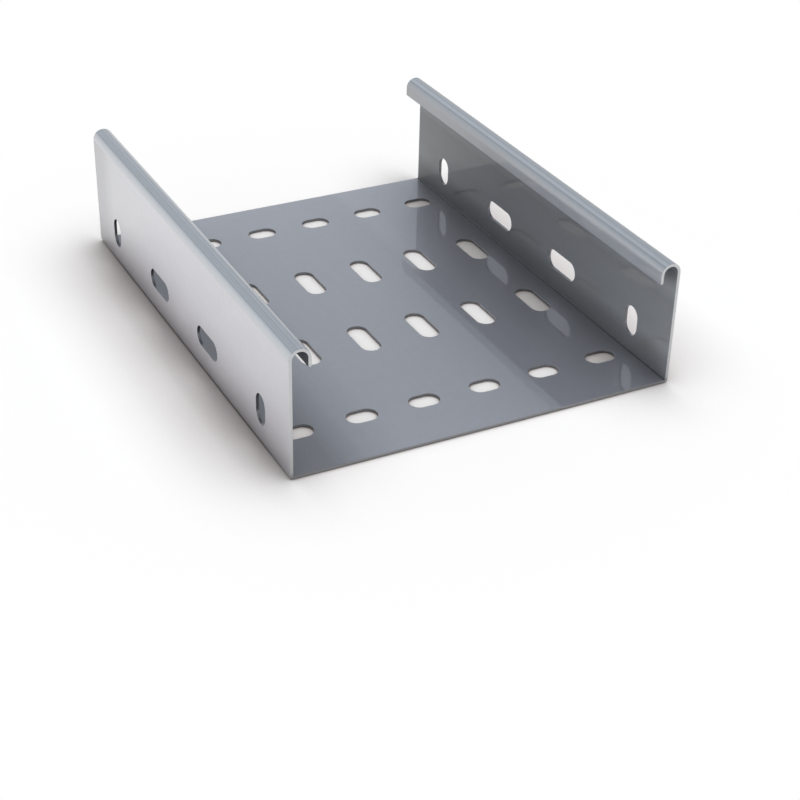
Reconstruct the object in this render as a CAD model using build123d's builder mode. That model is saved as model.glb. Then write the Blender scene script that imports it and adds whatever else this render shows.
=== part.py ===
from build123d import *
import os

# A short section of perforated cable tray. It is one piece: a slotted strip
# of galvanised steel sheet, folded up into two walls whose top edges are
# rolled inwards over an arch and end in a short leg that points down.
# X runs across the tray, Y along it from the front cut to the back cut, and
# Z up. The origin is on the underside of the floor, in the middle of the tray.

# Driving dimensions, in millimetres
sheet = 1.2                 # thickness of the steel sheet
clear_width = 150.0         # between the inner faces of the two walls
height = 50.0               # underside of the floor to the top of the rolled edge
length = 199.0              # cut length of this section
floor_bend = 0.5            # inner radius of the bend between floor and wall
roll_radius = 4.1           # outer radius of the rolled top edge
lip_leg = 3.4               # straight leg at the end of the rolled edge

column_pitch = 25.0         # slot spacing across the tray
row_pitch = 50.0            # slot spacing along the tray
front_margin = 25.0         # front cut to the middle of the first row
slot_width = 8.0            # width of every slot, with fully round ends
cross_slot = 12.0           # overall length of the slots of the two end rows
long_slot = 20.0            # overall length of the slots of the rows between
wall_slot_height = 14.0     # centre of the wall slots above the underside

# Worked out from them
outer_width = clear_width + 2 * sheet
outer_bend = floor_bend + sheet
wall_face = outer_width / 2
columns = int(clear_width // column_pitch)
rows = round(length / row_pitch)
end_row_spacing = (rows - 1) * row_pitch
middle_of_rows = front_margin + end_row_spacing / 2 - length / 2

# Folded sheet
# The path follows the outer face of the strip from the middle of the floor to
# the end of the lip. The sheet lies on its inner side, and the other half is
# the mirror image.
with BuildPart() as cable_tray:
    with BuildSketch(Plane.XZ) as profile:
        with BuildLine() as outer_face:
            floor_line = Line((0, 0), (wall_face - outer_bend, 0))
            lower_bend = JernArc(floor_line @ 1, (1, 0), outer_bend, 90)
            wall_line = Line(lower_bend @ 1, (wall_face, height - roll_radius))
            roll = JernArc(wall_line @ 1, (0, 1), roll_radius, 180)
            PolarLine(roll @ 1, lip_leg, direction=roll % 1)
            offset(amount=sheet, side=Side.LEFT)
        make_face()
        mirror(about=Plane.YZ)
    extrude(amount=length / 2, both=True)

    # Slots in the floor
    # The end rows have short slots that lie across the tray, and the rows
    # between have longer slots that run along it.
    with BuildSketch(Plane.XY) as floor_slots:
        with Locations((0, middle_of_rows)):
            with GridLocations(column_pitch, end_row_spacing, columns, 2):
                SlotOverall(cross_slot, slot_width)
            with GridLocations(column_pitch, row_pitch, columns, rows - 2):
                SlotOverall(long_slot, slot_width, rotation=90)
    extrude(amount=sheet, mode=Mode.SUBTRACT)

    # Slots in the walls
    # One line of slots in each wall, in step with the rows of the floor: the
    # strip is punched flat, so the end rows stand upright here.
    with BuildSketch(Plane.YZ) as wall_slots:
        with Locations((middle_of_rows, wall_slot_height)):
            with GridLocations(end_row_spacing, 1, 2, 1):
                SlotOverall(cross_slot, slot_width, rotation=90)
            with GridLocations(row_pitch, 1, rows - 2, 1):
                SlotOverall(long_slot, slot_width)
    extrude(amount=wall_face, both=True, mode=Mode.SUBTRACT)

cable_tray.part.label = "cable_tray"

os.makedirs("parts", exist_ok=True)
export_step(cable_tray.part, "parts/cable_tray.step")
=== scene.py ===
import bpy
import bmesh
import math
from mathutils import Matrix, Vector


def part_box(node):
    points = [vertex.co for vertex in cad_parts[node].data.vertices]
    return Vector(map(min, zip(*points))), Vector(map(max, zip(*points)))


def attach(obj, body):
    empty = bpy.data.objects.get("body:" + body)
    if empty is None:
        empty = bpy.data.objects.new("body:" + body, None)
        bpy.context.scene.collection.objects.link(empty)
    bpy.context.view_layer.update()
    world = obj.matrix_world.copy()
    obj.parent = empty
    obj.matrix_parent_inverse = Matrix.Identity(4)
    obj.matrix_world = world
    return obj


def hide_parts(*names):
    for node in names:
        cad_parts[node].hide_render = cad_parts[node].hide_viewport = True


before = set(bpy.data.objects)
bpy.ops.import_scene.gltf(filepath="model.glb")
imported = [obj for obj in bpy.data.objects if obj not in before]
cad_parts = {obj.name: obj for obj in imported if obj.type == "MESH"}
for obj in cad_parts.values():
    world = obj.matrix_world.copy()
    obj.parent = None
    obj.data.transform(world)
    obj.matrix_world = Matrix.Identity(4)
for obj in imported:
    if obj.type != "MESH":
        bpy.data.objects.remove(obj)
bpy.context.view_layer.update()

# Tray sheet
# One strip of galvanised steel, 1.2 mm thick. It is punched flat, folded up
# into two walls and rolled over along both top edges, and nothing is fixed to it.
MM = 0.001
SHEET = 1.2 * MM
BEND_INSIDE = 0.5 * MM
ROLL_RADIUS = 4.1 * MM
LIP_LEG = 3.4 * MM
SLOTS_TOP = 24 * MM
ABOVE_CREASE = 2 * MM
EDGE_ROUND = 0.14 * MM
ROUNDED_CORNER = math.radians(40)
MERGE_WITHIN = 0.002 * MM
FLAT_WITHIN = math.radians(0.4)
HAIR = 0.01 * MM
NEAR = 0.2 * MM

low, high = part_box("cable_tray")
roll_across = high.x - ROLL_RADIUS
roll_up = high.z - ROLL_RADIUS
wall_middle = high.x - SHEET / 2
sheet_shape = bmesh.new()
sheet_shape.from_mesh(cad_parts["cable_tray"].data)
bmesh.ops.remove_doubles(sheet_shape, verts=sheet_shape.verts, dist=MERGE_WITHIN)
bmesh.ops.dissolve_limit(
    sheet_shape, angle_limit=FLAT_WITHIN, verts=sheet_shape.verts, edges=sheet_shape.edges)
bmesh.ops.recalc_face_normals(sheet_shape, faces=sheet_shape.faces)


def finish_of(face):
    """Which finish a face has; the finishes also set painted light and shade per face.

    0 the zinc skin, 1 the sheared rim of a slot, 2 the sawn end of the strip,
    3 the inner face of a wall, 4 the crease between floor and wall, 5 a rolled
    edge with its leg, 6 the outer face of a wall.
    """
    middle = face.calc_center_median()
    at_an_end = middle.y < low.y + HAIR or middle.y > high.y - HAIR
    if at_an_end and abs(face.normal.y) > 0.99:
        return 2
    in_leg = middle.z > roll_up - LIP_LEG - NEAR and abs(middle.x) < roll_across
    if in_leg or middle.z > roll_up:
        return 5
    towards_middle = face.normal.x * middle.x < 0
    slanted = abs(face.normal.x) > 0.1 and face.normal.z > 0.1
    if towards_middle and slanted and middle.z < SHEET + BEND_INSIDE + NEAR:
        return 4
    upright = abs(face.normal.x) > 0.9 and abs(middle.x) > high.x - SHEET - BEND_INSIDE
    if upright and not towards_middle and abs(middle.x) > high.x - NEAR:
        return 6
    if upright and towards_middle and middle.z > ABOVE_CREASE:
        return 3
    in_floor = NEAR < middle.z < SHEET - NEAR and abs(face.normal.z) < 0.5
    in_wall = abs(abs(middle.x) - wall_middle) < 0.3 * SHEET and abs(face.normal.x) < 0.5
    if in_floor or (in_wall and middle.z < SLOTS_TOP):
        return 1
    return 0


for face in sheet_shape.faces:
    face.smooth = True
    face.material_index = finish_of(face)

tray_mesh = bpy.data.meshes.new("tray_sheet")
sheet_shape.to_mesh(tray_mesh)
sheet_shape.free()
tray = bpy.data.objects.new("tray_sheet", tray_mesh)
bpy.context.scene.collection.objects.link(tray)

rounding = tray.modifiers.new("rounded_edges", "BEVEL")
rounding.width = EDGE_ROUND
rounding.segments = 2
rounding.limit_method = "ANGLE"
rounding.angle_limit = ROUNDED_CORNER
flat_faces = tray.modifiers.new("flat_faces_stay_flat", "WEIGHTED_NORMAL")
flat_faces.mode = "FACE_AREA"
flat_faces.weight = 50

# Painted shade: occlusion darkens the metal's colour in folds, creases and hollows.
FOLD_DARKEST = 0.4
PAINTED_FOLD_SHADE = 0.46
FILM_IOR = 1.7
SPANGLES_PER_METRE = 420
SPANGLE_TINT = 0.015
ROLLING_LINES = (900, 9, 900)
LINE_NOISE = (0.3, 0.7)
GLOSS_CHANGE = 0.02


def maths(nodes, link, operation, first, second=None):
    """One maths node; an input may be a socket or a number."""
    node = nodes.new("ShaderNodeMath")
    node.operation = operation
    for place, value in enumerate((first, second)):
        if isinstance(value, (int, float)):
            node.inputs[place].default_value = value
        elif value is not None:
            link(value, node.inputs[place])
    return node.outputs["Value"]


def ramp(nodes, link, value, stops, interpolation="LINEAR"):
    """The colour of the nearest stops, which are (position, colour) pairs."""
    node = nodes.new("ShaderNodeValToRGB")
    node.color_ramp.interpolation = interpolation
    elements = node.color_ramp.elements
    elements.remove(elements[-1])
    for count, (position, colour) in enumerate(stops):
        stop = elements[0] if count == 0 else elements.new(position)
        stop.position = position
        stop.color = (*colour, 1)
    link(value, node.inputs["Fac"])
    return node.outputs["Color"]


def grey(level):
    """A colour without a hue; 1 leaves the colour it multiplies as it is."""
    return (level, level, level)


def graded(nodes, link, value, stops):
    """A grey that follows (millimetres, level) stops along one axis."""
    first = stops[0][0]
    span = stops[-1][0] - first
    share = maths(nodes, link, "DIVIDE", maths(nodes, link, "SUBTRACT", value, first * MM), span * MM)
    return ramp(nodes, link, share, [((place - first) / span, grey(level)) for place, level in stops])


def painted_light_to_front(nodes, link, along):
    """Painted light and shade: what faces the inside of the tray is painted lighter towards the front cut and
    darker towards the back.
    """
    return graded(nodes, link, along, (
        (-100, 1.4), (-74, 1.32), (-50, 1.16), (-24, 1.0), (0, 0.89), (25, 0.77), (100, 0.72)))


def floor_painted_shade(nodes, link, across, along, up):
    """Painted shade and light: the floor is painted darker beside the left wall and a little lighter on its
    right half.
    """
    return graded(nodes, link, across, (
        (-77, 0.45), (-60, 0.5), (-46, 0.86), (-32, 0.97), (30, 0.97), (36, 1.05), (77, 1.0)))


def painted_roll_bands(nodes, link, across, along, up):
    """Painted reflections and shade: light and dark bands along the edge, by the turn round it, outwards from
    its top; its inward side also gets the painted light towards the front cut.
    """
    out = maths(nodes, link, "SUBTRACT", maths(nodes, link, "ABSOLUTE", across), roll_across)
    above = maths(nodes, link, "SUBTRACT", up, roll_up)
    turn = maths(nodes, link, "ARCTAN2", out, above)
    share = maths(nodes, link, "ADD", maths(nodes, link, "DIVIDE", turn, math.pi), 0.5)
    lines = (
        (-85, 0.82), (-50, 0.74), (-46, 0.72), (-40, 0.62), (-34, 0.90), (-28, 1.06),
        (-16, 1.02), (-10, 0.86), (-4, 1.02), (4, 1.02), (10, 0.84), (16, 0.90),
        (28, 0.80), (34, 0.82), (40, 0.64), (46, 0.90), (58, 0.98), (75, 1.0))
    stops = [(degrees / 180 + 0.5, grey(level)) for degrees, level in lines]
    painted_bands = ramp(nodes, link, share, stops, "EASE")
    inward_side = [(degrees / 180 + 0.5, grey(level)) for degrees, level in ((-85, 1), (-50, 0))]
    inwards = ramp(nodes, link, share, inward_side)
    change = maths(nodes, link, "SUBTRACT", painted_light_to_front(nodes, link, along), 1)
    change = maths(nodes, link, "ADD", maths(nodes, link, "MULTIPLY", change, inwards), 1)
    return maths(nodes, link, "MULTIPLY", painted_bands, change)


def inside_wall_painted_light(nodes, link, across, along, up):
    """Painted shade and light: the inner face is painted darker near the floor and lighter just under the
    rolled edge and towards the front cut.
    """
    rise = graded(nodes, link, up, (
        (0, 0.87), (8, 0.92), (14, 1.18), (20, 1.0), (26, 0.94), (33, 0.92), (38, 1.26), (50, 1.3)))
    return maths(nodes, link, "MULTIPLY", rise, painted_light_to_front(nodes, link, along))


def outside_wall_painted_shade(nodes, link, across, along, up):
    """Painted shade and light: the outer face is painted darker at its foot and towards the back cut, and a
    little lighter higher up.
    """
    rise = graded(nodes, link, up, (
        (0, 0.62), (2, 0.62), (4, 0.75), (8, 0.89), (14, 1.02), (26, 1.12), (46, 1.10)))
    length = graded(nodes, link, along, (
        (-100, 1.0), (0, 1.0), (50, 0.92), (78, 0.86), (90, 0.66), (100, 0.6)))
    return maths(nodes, link, "MULTIPLY", rise, length)


def sawn_end_painted_shade(nodes, link, across, along, up):
    """Painted shade: the sawn end is painted darker near the table, most of all along the floor's edge."""
    return graded(nodes, link, up, ((0, 0.40), (1.2, 0.40), (3, 0.72), (20, 0.92), (32, 1.0), (50, 1.0)))


def metal(name, colour, roughness, coat=1.0, reach=110, painted_light_and_shade=None):
    """Zinc under a clear film. Spangles shift its colour a little, rolling its gloss, painted shade darkens
    it in folds and hollows, and a given pattern paints light and shade onto it.
    """
    material = bpy.data.materials.new(name)
    material.use_nodes = True
    nodes = material.node_tree.nodes
    link = material.node_tree.links.new
    shader = nodes["Principled BSDF"]
    shader.inputs["Metallic"].default_value = 1.0
    shader.inputs["Coat Weight"].default_value = coat
    shader.inputs["Coat Roughness"].default_value = 0.0
    shader.inputs["Coat IOR"].default_value = FILM_IOR
    place = nodes.new("ShaderNodeTexCoord")

    crystals = nodes.new("ShaderNodeTexVoronoi")
    crystals.inputs["Scale"].default_value = SPANGLES_PER_METRE
    link(place.outputs["Object"], crystals.inputs["Vector"])
    crystal_grey = nodes.new("ShaderNodeRGBToBW")
    link(crystals.outputs["Color"], crystal_grey.inputs["Color"])
    tint = nodes.new("ShaderNodeMapRange")
    tint.inputs["To Min"].default_value = 1 - SPANGLE_TINT
    tint.inputs["To Max"].default_value = 1 + SPANGLE_TINT
    link(crystal_grey.outputs["Val"], tint.inputs["Value"])

    # Painted shade: the colour is darkened where the sheet is hemmed in, in folds, creases and hollows.
    fold_occlusion = nodes.new("ShaderNodeAmbientOcclusion")
    fold_occlusion.only_local = True
    fold_occlusion.samples = 12
    fold_occlusion.inputs["Distance"].default_value = reach * MM
    painted_fold_shade = nodes.new("ShaderNodeMapRange")
    painted_fold_shade.inputs["From Min"].default_value = FOLD_DARKEST
    painted_fold_shade.inputs["To Min"].default_value = PAINTED_FOLD_SHADE
    link(fold_occlusion.outputs["AO"], painted_fold_shade.inputs["Value"])

    level = maths(nodes, link, "MULTIPLY", painted_fold_shade.outputs["Result"], tint.outputs["Result"])
    # Painted light and shade: the given pattern scales the colour lighter or darker.
    if painted_light_and_shade:
        parts = nodes.new("ShaderNodeSeparateXYZ")
        link(place.outputs["Object"], parts.inputs["Vector"])
        painted_level = painted_light_and_shade(nodes, link, parts.outputs["X"], parts.outputs["Y"], parts.outputs["Z"])
        level = maths(nodes, link, "MULTIPLY", level, painted_level)
    shade = nodes.new("ShaderNodeVectorMath")
    shade.operation = "SCALE"
    shade.inputs[0].default_value = colour
    link(level, shade.inputs["Scale"])
    link(shade.outputs["Vector"], shader.inputs["Base Color"])

    stretch = nodes.new("ShaderNodeMapping")
    stretch.inputs["Scale"].default_value = ROLLING_LINES
    link(place.outputs["Object"], stretch.inputs["Vector"])
    lines = nodes.new("ShaderNodeTexNoise")
    lines.inputs["Scale"].default_value = 1.0
    link(stretch.outputs["Vector"], lines.inputs["Vector"])
    gloss = nodes.new("ShaderNodeMapRange")
    gloss.inputs["From Min"].default_value = LINE_NOISE[0]
    gloss.inputs["From Max"].default_value = LINE_NOISE[1]
    gloss.inputs["To Min"].default_value = roughness * (1 - GLOSS_CHANGE)
    gloss.inputs["To Max"].default_value = roughness * (1 + GLOSS_CHANGE)
    link(lines.outputs["Fac"], gloss.inputs["Value"])
    link(gloss.outputs["Result"], shader.inputs["Roughness"])
    return material


# The zinc's colour is set lighter or darker per face to paint light and shade: outer faces and rolled edges
# are lighter copies, inner faces and sawn ends darker ones.
for finish in (
        metal("zinc_skin", (0.575, 0.573, 0.612), roughness=0.5, painted_light_and_shade=floor_painted_shade),
        # Painted shade: the slot rims are given a very dark colour.
        metal("sheared_rim_painted_shade", (0.16, 0.165, 0.175), roughness=0.4),
        metal("sawn_end", (0.50, 0.51, 0.52), roughness=0.3, painted_light_and_shade=sawn_end_painted_shade),
        # Painted shade: the inner faces are a much darker copy of the zinc.
        metal("zinc_inside_painted_shade", (0.35, 0.355, 0.36), roughness=0.65, coat=0.5, reach=25, painted_light_and_shade=inside_wall_painted_light),
        # Painted shade: the crease is given a near black colour and little film.
        metal("fold_line_painted_shade", (0.10, 0.103, 0.11), roughness=0.5, coat=0.2),
        metal("rolled_edge", (0.60, 0.615, 0.635), roughness=0.5, coat=0.6, reach=20, painted_light_and_shade=painted_roll_bands),
        # Painted light: the outer faces are a lighter copy of the zinc.
        metal("zinc_outside_painted_light", (0.605, 0.604, 0.632), roughness=0.5, painted_light_and_shade=outside_wall_painted_shade)):
    tray_mesh.materials.append(finish)
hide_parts("cable_tray")
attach(tray, "root")

# Floor
# A plain white studio table. It catches the tray's soft shadow; a painted shadow deepens and warms it where
# the two touch, painted shade makes it a little darker under the tray, and it is as white as the background
# everywhere else.
FLOOR_HALF = 6.0
FLOOR_DROP = 0.02 * MM
floor_shape = bmesh.new()
bmesh.ops.create_grid(floor_shape, x_segments=1, y_segments=1, size=FLOOR_HALF)
floor_mesh = bpy.data.meshes.new("floor")
floor_shape.to_mesh(floor_mesh)
floor_shape.free()
floor = bpy.data.objects.new("floor", floor_mesh)
bpy.context.scene.collection.objects.link(floor)
floor.location.z = -FLOOR_DROP

WHITE = (1, 1, 1, 1)
FLOOR_GREY = 0.8
FLOOR_GLOW = 0.02
# Painted shadow: occlusion darkens and warms the table near the tray, and a box under the tray is painted
# darker.
CONTACT_REACH = 48 * MM
CONTACT_SHADE = 0.44
PAINTED_SHADOW_TINT = (1.10, 1.0, 0.99)
OPEN_AT_A_WALL = 0.5
UNDER_SHADE = 0.87
UNDER_TO = 0.97
WHITE_FROM = 100 * MM
WHITE_BY = 220 * MM


def seen_directly(nodes, link):
    """1 for the camera and for what metal and glass show, 0 for light that bounces on."""
    path = nodes.new("ShaderNodeLightPath")
    either = maths(nodes, link, "MAXIMUM", path.outputs["Is Camera Ray"], path.outputs["Is Glossy Ray"])
    return maths(nodes, link, "MAXIMUM", either, path.outputs["Is Transmission Ray"])


table_white = bpy.data.materials.new("table_white")
table_white.use_nodes = True
nodes = table_white.node_tree.nodes
link = table_white.node_tree.links.new
nodes.remove(nodes["Principled BSDF"])
seen = seen_directly(nodes, link)

# Painted shadow: an occlusion pass darkens and warms the table next to the tray.
contact = nodes.new("ShaderNodeAmbientOcclusion")
contact.inputs["Distance"].default_value = CONTACT_REACH
deepest_painted_shadow = [FLOOR_GREY * CONTACT_SHADE * part for part in PAINTED_SHADOW_TINT]
contact_stops = [(OPEN_AT_A_WALL, deepest_painted_shadow), (1.0, grey(FLOOR_GREY))]
painted_contact_shadow = ramp(nodes, link, contact.outputs["AO"], contact_stops)

# Painted shade: the table is painted darker in a box under the tray.
spot = nodes.new("ShaderNodeTexCoord")
parts = nodes.new("ShaderNodeSeparateXYZ")
link(spot.outputs["Object"], parts.inputs["Vector"])
beside = maths(nodes, link, "DIVIDE", maths(nodes, link, "ABSOLUTE", parts.outputs["X"]), high.x)
beyond = maths(nodes, link, "DIVIDE", maths(nodes, link, "ABSOLUTE", parts.outputs["Y"]), high.y)
clear = maths(nodes, link, "MAXIMUM", beside, beyond)
painted_under_shade = ramp(nodes, link, clear, [(UNDER_TO, grey(UNDER_SHADE)), (1.0, grey(1))])
shaded = nodes.new("ShaderNodeVectorMath")
shaded.operation = "SCALE"
link(painted_contact_shadow, shaded.inputs[0])
link(painted_under_shade, shaded.inputs["Scale"])
matt = nodes.new("ShaderNodeBsdfDiffuse")
link(shaded.outputs["Vector"], matt.inputs["Color"])
glow = nodes.new("ShaderNodeEmission")
link(maths(nodes, link, "MULTIPLY", seen, FLOOR_GLOW), glow.inputs["Strength"])
near = nodes.new("ShaderNodeAddShader")
link(matt.outputs["BSDF"], near.inputs[0])
link(glow.outputs["Emission"], near.inputs[1])

distance = nodes.new("ShaderNodeVectorMath")
distance.operation = "LENGTH"
link(spot.outputs["Object"], distance.inputs[0])
away = nodes.new("ShaderNodeMapRange")
away.interpolation_type = "SMOOTHSTEP"
away.inputs["From Min"].default_value = WHITE_FROM
away.inputs["From Max"].default_value = WHITE_BY
link(distance.outputs["Value"], away.inputs["Value"])
far = nodes.new("ShaderNodeEmission")
far.inputs["Color"].default_value = WHITE
table = nodes.new("ShaderNodeMixShader")
link(maths(nodes, link, "MULTIPLY", away.outputs["Result"], seen), table.inputs["Fac"])
link(near.outputs["Shader"], table.inputs[1])
link(far.outputs["Emission"], table.inputs[2])
link(table.outputs["Shader"], nodes["Material Output"].inputs["Surface"])
floor_mesh.materials.append(table_white)

# Studio tent
# A round grey-blue cloth over the table, which only the metal sees: it gives
# the flat zinc its cool mid grey. It is a little lighter on the left.
TENT_RADIUS = 2.2
TENT_LOW = math.radians(4)
TENT_LEFT = 1.3
TENT_RIGHT = 0.7
TENT_LEVELS = (
    (4, (0.86, 0.87, 0.89)),
    (14, (0.78, 0.80, 0.83)),
    (23, (0.65, 0.70, 0.76)),
    (46, (0.70, 0.75, 0.82)),
    (60, (0.40, 0.43, 0.47)),
    (90, (0.24, 0.26, 0.29)),
)
tent_shape = bmesh.new()
bmesh.ops.create_uvsphere(tent_shape, u_segments=64, v_segments=64, radius=TENT_RADIUS)
bmesh.ops.bisect_plane(
    tent_shape, geom=tent_shape.verts[:] + tent_shape.edges[:] + tent_shape.faces[:],
    plane_co=(0, 0, TENT_RADIUS * math.sin(TENT_LOW)), plane_no=(0, 0, 1), clear_inner=True)
tent_mesh = bpy.data.meshes.new("studio_tent")
tent_shape.to_mesh(tent_mesh)
tent_shape.free()
tent = bpy.data.objects.new("studio_tent", tent_mesh)
bpy.context.scene.collection.objects.link(tent)
tent.visible_camera = False
tent.visible_diffuse = False
tent.visible_shadow = False
tent.visible_transmission = False

cloth = bpy.data.materials.new("tent_cloth")
cloth.use_nodes = True
nodes = cloth.node_tree.nodes
link = cloth.node_tree.links.new
nodes.remove(nodes["Principled BSDF"])
glow = nodes.new("ShaderNodeEmission")
place = nodes.new("ShaderNodeTexCoord")
parts = nodes.new("ShaderNodeSeparateXYZ")
link(place.outputs["Object"], parts.inputs["Vector"])
rise = maths(nodes, link, "DIVIDE", parts.outputs["Z"], TENT_RADIUS)
stops = [(math.sin(math.radians(elevation)), colour) for elevation, colour in TENT_LEVELS]
link(ramp(nodes, link, rise, stops), glow.inputs["Color"])
across = nodes.new("ShaderNodeMapRange")
across.inputs["From Min"].default_value = -TENT_RADIUS
across.inputs["From Max"].default_value = TENT_RADIUS
across.inputs["To Min"].default_value = TENT_LEFT
across.inputs["To Max"].default_value = TENT_RIGHT
link(parts.outputs["X"], across.inputs["Value"])
link(across.outputs["Result"], glow.inputs["Strength"])
link(glow.outputs["Emission"], nodes["Material Output"].inputs["Surface"])
tent_mesh.materials.append(cloth)

# Light
# A white room that fills from everywhere, and two long soft lamps overhead,
# leaning a little to the right, so that more of the shadow falls to the left.
ROOM_FILL = 0.2
world = bpy.data.worlds.new("white_room")
bpy.context.scene.world = world
world.use_nodes = True
nodes = world.node_tree.nodes
link = world.node_tree.links.new
room_fill = nodes["Background"]
room_fill.inputs["Color"].default_value = WHITE
room_fill.inputs["Strength"].default_value = ROOM_FILL
room_seen = nodes.new("ShaderNodeBackground")
room_seen.inputs["Color"].default_value = WHITE
room_seen.inputs["Strength"].default_value = 1.0
choose = nodes.new("ShaderNodeMixShader")
link(seen_directly(nodes, link), choose.inputs["Fac"])
link(room_fill.outputs["Background"], choose.inputs[1])
link(room_seen.outputs["Background"], choose.inputs[2])
link(choose.outputs["Shader"], nodes["World Output"].inputs["Surface"])

LAMP_HEIGHT = 5.0
# name, width, length, power, lean from upright towards the right
for name, width, length, power, lean in (
        ("key_lamp", 2.1, 8.0, 190.0, 4),
        ("soft_lamp", 4.0, 8.0, 173.0, 10)):
    lamp_data = bpy.data.lights.new(name, "AREA")
    lamp_data.shape = "RECTANGLE"
    lamp_data.size = width
    lamp_data.size_y = length
    lamp_data.energy = power
    lamp = bpy.data.objects.new(name, lamp_data)
    bpy.context.scene.collection.objects.link(lamp)
    leaned = Matrix.Rotation(math.radians(lean), 4, "Y")
    lamp.matrix_world = leaned @ Matrix.Translation((0, 0, LAMP_HEIGHT))
    lamp.visible_glossy = False

# Camera
# It looks down on the front left corner, as the reference picture does.
SENSOR_WIDTH = 36
IMAGE = 800
FOCAL_PIXELS = 1691.7
HEADING = math.radians(27.615)
LOOK_DOWN = math.radians(31.613)
CAMERA_ROLL = math.radians(-1.445)
CAMERA_PLACE = (-261.38 * MM, -531.35 * MM, 321.24 * MM)
camera_data = bpy.data.cameras.new("camera")
camera_data.sensor_width = SENSOR_WIDTH
camera_data.lens = FOCAL_PIXELS / IMAGE * SENSOR_WIDTH
camera_data.clip_start = 10 * MM
camera = bpy.data.objects.new("camera", camera_data)
bpy.context.scene.collection.objects.link(camera)
camera.matrix_world = (
    Matrix.Translation(CAMERA_PLACE) @ Matrix.Rotation(-HEADING, 4, "Z")
    @ Matrix.Rotation(math.pi / 2 - LOOK_DOWN, 4, "X") @ Matrix.Rotation(-CAMERA_ROLL, 4, "Z"))
bpy.context.scene.camera = camera

bpy.context.scene.view_settings.view_transform = "Standard"
